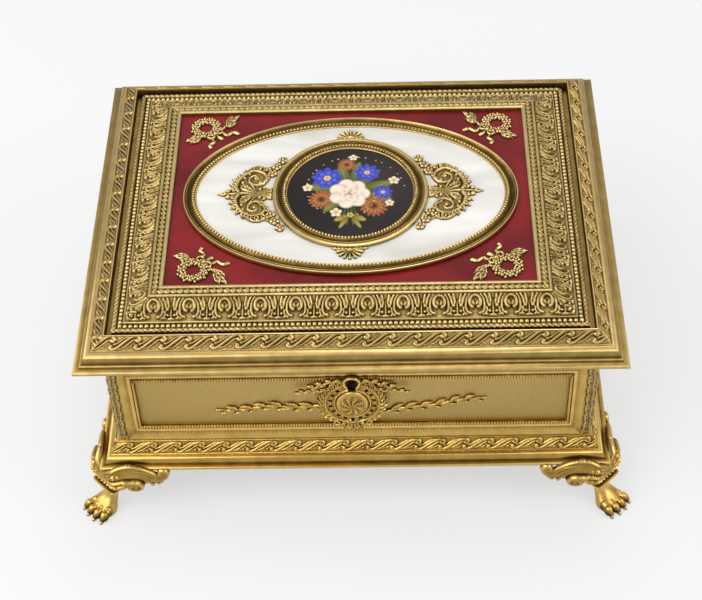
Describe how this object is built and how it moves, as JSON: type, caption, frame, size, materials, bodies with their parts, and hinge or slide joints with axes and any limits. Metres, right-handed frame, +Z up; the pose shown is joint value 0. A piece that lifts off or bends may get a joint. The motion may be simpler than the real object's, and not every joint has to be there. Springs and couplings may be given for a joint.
{
  "type": "jewelry casket",
  "caption": "Gilt bronze jewelry casket on lion's paw feet, with a hinged lid set with red enamel, a pearl oval and an enamel roundel.",
  "frame": {"origin": "on the table under the middle of the casket", "axes": "+X along the width to the right, +Y to the back, +Z up; the front with the keyhole faces -Y"},
  "size_m": [0.2986, 0.2406, 0.1345],
  "materials": {
    "gilt_bronze": "antique gilt, satin with dark patina in the hollows",
    "gilt_relief": "chased gilt, satin, paler on the high points",
    "gilt_stipple": "finely stippled gilt",
    "red_enamel": "glossy translucent crimson enamel",
    "mother_of_pearl": "polished, softly clouded",
    "painted_enamel": "glossy painted enamel",
    "hinge_brass": "satin",
    "lock_steel": "filed and dulled",
    "screw_steel": "satin",
    "core_wood": "plain oiled wood",
    "lining_velvet": "short pile velvet"
  },
  "bodies": {
    "case": {"plinth_moulding": "gilt_bronze", "floor_plate": "core_wood", "foot_screws": "screw_steel", "rim_moulding": "gilt_bronze", "hinge_case_leaves": "hinge_brass", "hinge_pins": "hinge_brass", "hinge_case_screws": "screw_steel", "escutcheon": "gilt_relief", "escutcheon_boss": "gilt_relief", "sprig_left": "gilt_relief", "sprig_right": "gilt_relief", "lock_case": "lock_steel", "lock_cap": "lock_steel", "lock_screws": "screw_steel", "floor_cushion": "lining_velvet", "wall_front": "gilt_bronze", "panel_front": "gilt_stipple", "lining_front": "lining_velvet", "wall_right": "gilt_bronze", "panel_right": "gilt_stipple", "lining_right": "lining_velvet", "wall_back": "gilt_bronze", "panel_back": "gilt_stipple", "lining_back": "lining_velvet", "wall_left": "gilt_bronze", "panel_left": "gilt_stipple", "lining_left": "lining_velvet", "foot_front_left": "gilt_bronze", "pilaster_front_left": "gilt_bronze", "foot_front_right": "gilt_bronze", "pilaster_front_right": "gilt_bronze", "foot_back_left": "gilt_bronze", "pilaster_back_left": "gilt_bronze", "foot_back_right": "gilt_bronze", "pilaster_back_right": "gilt_bronze"},
    "lid": {"lid_outer_moulding": "gilt_bronze", "lid_inner_moulding": "gilt_bronze", "enamel_panel": "red_enamel", "oval_frame": "gilt_bronze", "pearl_plaque": "mother_of_pearl", "roundel_frame": "gilt_bronze", "enamel_roundel": "painted_enamel", "scroll_mount_left": "gilt_relief", "scroll_mount_right": "gilt_relief", "leaf_clasp_front": "gilt_relief", "leaf_clasp_back": "gilt_relief", "lid_core": "core_wood", "lid_pad": "lining_velvet", "lid_staple": "lock_steel", "hinge_lid_leaves": "hinge_brass", "hinge_lid_screws": "screw_steel", "corner_mount_front_left": "gilt_relief", "corner_mount_front_right": "gilt_relief", "corner_mount_back_left": "gilt_relief", "corner_mount_back_right": "gilt_relief"},
    "bolt": {"lock_bolt": "lock_steel"}
  },
  "joints": [
    {"name": "lid_hinge", "type": "hinge", "parent": "case", "child": "lid", "pos_m": [0, 0.1025, 0.11335], "axis": [-1, 0, 0], "range_deg": [0, 100]},
    {"name": "bolt_slide", "type": "slide", "parent": "case", "child": "bolt", "axis": [-1, 0, 0], "range_m": [0, 0.005]}
  ]
}
